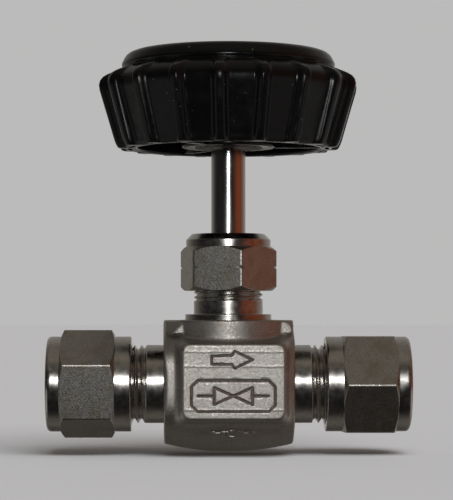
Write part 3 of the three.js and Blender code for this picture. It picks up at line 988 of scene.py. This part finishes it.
def packing_nut():
    """A hexagonal nut with a notch round its corners and a chamfered collar on top."""
    corner = PACKING_NUT_FLATS / math.sqrt(3) + 0.2
    flat = PACKING_NUT_FLATS / 2
    low, high = PACKING_NUT_HEX_Z
    profile = [
        (PACKING_NUT_BORE_R, low, 0.2),
        (flat + 0.1, low, 0.08),
        (corner, low + 0.9),
        (corner, PACKING_NUT_NOTCH_Z - 0.4, 0.06),
        (corner - 0.65, PACKING_NUT_NOTCH_Z, 0.15),
        (corner, PACKING_NUT_NOTCH_Z + 0.4, 0.06),
        (corner, high - 1.0),
        (flat + 0.02, high, 0.03),
        (flat - 0.15, high, 0.05),
        (flat - 0.15, PACKING_NUT_TOP_Z - 1.1, 0.1),
        (flat - 1.25, PACKING_NUT_TOP_Z, 0.12),
        (STEM_R + 0.15, PACKING_NUT_TOP_Z, 0.2),
        (STEM_R + 0.15, PACKING_NUT_CEILING_Z, 0.1),
        (PACKING_NUT_BORE_R, PACKING_NUT_CEILING_Z, 0.1),
    ]
    cut = hexagon(PACKING_NUT_FLATS, PACKING_NUT_TURN, (low - 0.01, high + 0.01))
    return turned(profile, step=0.11, shapes=[cut], angles=hexagon_angles(PACKING_NUT_TURN))


def build_stem_and_packing():
    """Everything on the stem's axis between the needle and the knob."""
    piece("stem_fine", stem(), "handwheel", [POLISHED], ["stem"])
    piece("needle_tip_fine", needle_tip(), "needle", [TURNED_Z], ["needle_tip"])
    for name, profile in packing_stack():
        look = TURNED_Z if name == "packing_washer" else PACKING
        piece(f"{name}_fine", turned(profile), "valve", [look], [name])
    piece("packing_gland_fine", gland(), "gland", [TURNED_Z], ["packing_gland"])
    low, high = PACKING_NUT_HEX_Z
    flats = flats_between(low + 0.02, high - 0.02, PACKING_NUT_FLATS / 2, 2)
    looks = [TURNED_Z, MILLED]
    piece("packing_nut_fine", packing_nut(), "packing_nut", looks, ["packing_nut"], flats)
    recolour("tip_retainer", TURNED_Z)


# ---- Knob ------------------------------------------------------------------------------------


def knob_ribs(radius, height, angle):
    """Lowers the skirt's outside between the ribs to flat panels, and leaves the inside alone."""
    crest = np.interp(height, *zip(*RIB_REACH))
    depth = np.interp(height, *zip(*PANEL_DEPTH))
    sector = 2 * math.pi / KNOB_RIBS
    local = (angle - math.radians(KNOB_RIB_TURN - 90)) % sector
    from_rib = np.minimum(local, sector - local)
    panel = (radius - depth) * math.cos(sector / 2) / np.cos(sector / 2 - from_rib)
    rib = 1 - smooth_step(RIB_CREST_HALF, RIB_FOOT_HALF, from_rib * radius)
    on_skirt = (height < KNOB_SKIRT_TOP_Z) & (height > KNOB_BOTTOM_Z - 0.01) & (radius > crest - 1.4)
    return np.where(on_skirt, panel + (radius - panel) * rib, radius)


def knob_shell():
    """The moulding: a flat cap on a flared skirt, hollow below, round a hub that holds the insert."""
    bore_r, bore_top = INSERT_R + 0.2, INSERT_TOP_Z + 0.3
    profile = [
        (0, KNOB_TOP_Z),
        (12.0, KNOB_TOP_Z - 0.05, 3.0),
        (18.6, KNOB_TOP_Z - 0.2, 1.6),
        (19.75, 58.6, 0.4),
        (19.35, 57.9, 0.2),
        (20.0, KNOB_SKIRT_TOP_Z, 0.2),
        (24.35, 55.9, 2.2),
        (20.9, 44.3, 0.8),
        (20.3, KNOB_BOTTOM_Z, 0.4),
        (16.7, KNOB_BOTTOM_Z, 0.5),
        (16.9, 44.4, 0.5),
        (19.4, 54.2, 1.0),
        (17.6, KNOB_CEILING_Z, 0.8),
        (KNOB_HUB_R + 0.1, KNOB_CEILING_Z, 0.8),
        (KNOB_HUB_R, KNOB_HUB_Z, 0.4),
        (bore_r, KNOB_HUB_Z, 0.25),
        (bore_r, bore_top, 0.2),
        (0, bore_top),
    ]
    columns_per_rib = 22
    count = KNOB_RIBS * columns_per_rib
    columns = np.arange(count) * (360 / count) + KNOB_RIB_TURN - 90
    return turned(profile, step=0.5, shapes=[knob_ribs], angles=columns)


def knob_webs():
    """Webs from the hub to the skirt, each leaning outwards with the skirt's inner wall."""
    low, high = KNOB_HUB_Z, KNOB_CEILING_Z + 0.2
    size = (KNOB_WEB_LENGTH, KNOB_WEB_THICKNESS, high - low)
    middle = (KNOB_HUB_R + KNOB_WEB_LENGTH / 2, 0, (low + high) / 2)
    webs = []
    for number in range(KNOB_WEBS):
        points, quads = box(middle, size)
        x, y, z = points.T
        x = x + np.where((x > middle[0]) & (z > middle[2]), KNOB_WEB_LEAN, 0)
        turn = math.radians(KNOB_WEB_TURN - 90 + 360 / KNOB_WEBS * number)
        turned_x = x * math.cos(turn) - y * math.sin(turn)
        turned_y = x * math.sin(turn) + y * math.cos(turn)
        webs.append((np.stack([turned_x, turned_y, z], axis=1), quads))
    return joined(*webs)


def knob_insert():
    """The metal bush moulded into the knob."""
    bore_r = STEM_R + 0.1
    return turned(
        [
            (bore_r, KNOB_BOTTOM_Z, 0.15),
            (INSERT_R, KNOB_BOTTOM_Z, 0.3),
            (INSERT_R, INSERT_TOP_Z, 0.3),
            (bore_r, INSERT_TOP_Z, 0.15),
        ]
    )


def build_knob():
    """The moulding with its webs and its bush, both drilled for the set screw."""
    shell = piece("knob_shell", knob_shell(), "handwheel", [PHENOLIC], ["knob"])
    cross_hole(shell, SCREW_R + 0.35, 30.0, SCREW_Z)
    thinned(shell, MOST_TRIANGLES)
    piece("knob_webs", knob_webs(), "handwheel", [PHENOLIC], ["knob"])
    bush = piece("knob_insert_fine", knob_insert(), "handwheel", [INSERT], ["knob_insert"])
    cross_hole(bush, SCREW_R + 0.2, 12.0, SCREW_Z)
    recolour("knob_set_screw", BLACKENED)


# ---- Studio ----------------------------------------------------------------------------------


# The room's colours by the angle in degrees from the front: round the sides, where +X is positive,
# and over the top, where up is positive
PALE = (0.497, 0.497, 0.495)
BEHIND = (0.31, 0.3, 0.285)
GRAZING = (0.8, 0.79, 0.77)
SHEEN = (0.33, 0.325, 0.315)
DARK = (0.012, 0.012, 0.012)
ROOM_AROUND = [
    (-180, GRAZING), (-165, BEHIND), (-146, (0.23, 0.215, 0.195)), (-120, (0.11, 0.1, 0.09)),
    (-100, (0.03, 0.027, 0.026)), (-80, DARK), (25, DARK), (40, (0.07, 0.024, 0.018)),
    (60, (0.18, 0.044, 0.018)), (78, (0.19, 0.045, 0.016)), (98, (0.17, 0.06, 0.03)),
    (125, (0.25, 0.2, 0.185)), (150, BEHIND), (180, GRAZING),
]
ROOM_OVER = [
    (-180, BEHIND), (-166, (0.12, 0.115, 0.1)), (-150, (0.05, 0.046, 0.042)), (-132, (0.06, 0.055, 0.05)),
    (-110, (0.13, 0.12, 0.106)), (-92, (0.1, 0.092, 0.082)), (-77, (0.03, 0.028, 0.025)), (-66, DARK),
    (15, DARK), (35, (0.05, 0.045, 0.038)), (51, (0.11, 0.1, 0.083)), (64, (0.2, 0.178, 0.145)),
    (92, (0.15, 0.138, 0.12)), (110, (0.165, 0.152, 0.137)), (132, (0.235, 0.22, 0.205)), (180, BEHIND),
]


def floor():
    """A wide pale floor just under the object, which the metal doesn't reflect."""
    reach = FLOOR_REACH * MM
    z = cad_box[0].z - FLOOR_GAP * MM
    mesh = bpy.data.meshes.new("floor")
    corners = [(-reach, -reach, z), (reach, -reach, z), (reach, reach, z), (-reach, reach, z)]
    mesh.from_pydata(corners, [], [(0, 1, 2, 3)])
    look = Look("floor", (0.79, 0.805, 0.83), 0.8)
    look.set("Specular IOR Level", 0.0)
    clear_from_below(look)
    mesh.materials.append(look.material)
    plane = bpy.data.objects.new("floor", mesh)
    scene.collection.objects.link(plane)
    plane.visible_glossy = False
    return plane


def clear_from_below(look):
    """Lets a view from under the floor see the object."""
    mix = look.add("ShaderNodeMixShader")
    look.join(look.add("ShaderNodeNewGeometry").outputs["Backfacing"], mix.inputs["Fac"])
    look.join(look.shader.outputs["BSDF"], mix.inputs[1])
    look.join(look.add("ShaderNodeBsdfTransparent").outputs["BSDF"], mix.inputs[2])
    look.join(mix.outputs["Shader"], look.nodes["Material Output"].inputs["Surface"])


def aim_at(light, state, *objects):
    """Lets a light fall on those objects only, for INCLUDE, or on all but those, for EXCLUDE."""
    linked = bpy.data.collections.new(f"{light.name}_{state.lower()}")
    for one in objects:
        linked.objects.link(one)
    for member in linked.collection_objects:
        member.light_linking.link_state = state
    light.light_linking.receiver_collection = linked


def lamp(name, kind, place, aim, in_reflections, **settings):
    """Adds a light at a place, shining towards its aim."""
    data = bpy.data.lights.new(name, kind)
    for key, value in settings.items():
        setattr(data, key, value)
    light = bpy.data.objects.new(name, data)
    light.location = place
    light.rotation_euler = (aim - place).to_track_quat("-Z", "Y").to_euler()
    light.visible_glossy = in_reflections
    scene.collection.objects.link(light)
    return light


def surroundings():
    """A room for the metal to reflect, where the camera itself sees only a plain pale colour.

    The room is dark in front and on the left, warm on the right and pale behind, and its floor
    shines towards both sides.
    """
    scene.world = bpy.data.worlds.new("studio")
    graph = Graph(scene.world)
    direction = graph.add("ShaderNodeSeparateXYZ")
    graph.join(graph.add("ShaderNodeTexCoord").outputs["Generated"], direction.inputs[0])
    x, y, z = direction.outputs
    front = graph.math("MULTIPLY", y, -1.0)

    def ring(side, stops):
        """Colours by the angle in degrees from the front, through one side, to the back."""
        turn = graph.math("MULTIPLY_ADD", graph.math("ARCTAN2", side, front), 0.5 / math.pi, 0.5)
        node = graph.add("ShaderNodeValToRGB")
        graph.join(turn, node.inputs["Fac"])
        elements = node.color_ramp.elements
        for number, (angle, color) in enumerate(stops):
            place = angle / 360 + 0.5
            element = elements[number] if number < 2 else elements.new(place)
            element.position = place
            element.color = (*color, 1)
        return node.outputs["Color"]

    square_x, square_z = (graph.math("MULTIPLY", value, value) for value in (x, z))
    share = graph.math("DIVIDE", square_z, graph.math("ADD", square_x, square_z))
    room = graph.mix(share, ring(x, ROOM_AROUND), ring(z, ROOM_OVER))
    low = graph.step(graph.math("MULTIPLY", z, -1.0), 0.1, 0.22)
    sideways = graph.step(graph.math("ABSOLUTE", x), 0.5, 0.85)
    room = graph.mix(graph.math("MULTIPLY", low, sideways), room, SHEEN)
    seen = graph.add("ShaderNodeLightPath").outputs["Is Camera Ray"]
    background = graph.nodes["Background"]
    graph.join(graph.mix(seen, room, PALE), background.inputs["Color"])
    background.inputs["Strength"].default_value = 1.0


def camera():
    """A long lens, in front of the object and slightly below its middle."""
    data = bpy.data.cameras.new("camera")
    data.lens = CAMERA_LENS
    data.sensor_width = SENSOR_WIDTH
    data.clip_start = 0.01
    made = bpy.data.objects.new("camera", data)
    made.location = CAMERA_PLACE
    made.rotation_euler = (CAMERA_AIM - CAMERA_PLACE).to_track_quat("-Z", "Y").to_euler()
    scene.collection.objects.link(made)
    scene.camera = made


def studio():
    """Floor, room, lights and camera. The knob has a flash of its own, lower than the metal's."""
    ground = floor()
    surroundings()
    knob = bpy.data.objects["knob_shell"]
    on_metal = lamp("flash", "AREA", FLASH_PLACE, FLASH_AIM, True, **FLASH)
    aim_at(on_metal, "EXCLUDE", ground, knob)
    on_knob = lamp("knob_flash", "AREA", KNOB_FLASH_PLACE, KNOB_FLASH_AIM, True, **FLASH)
    aim_at(on_knob, "INCLUDE", knob)
    lamp("daylight", "SUN", DAYLIGHT_FROM, Vector((0, 0, 0)), False, **DAYLIGHT)
    camera()
    scene.view_settings.view_transform = "Standard"


build_body()
build_tube_ends()
build_stem_and_packing()
build_knob()
studio()
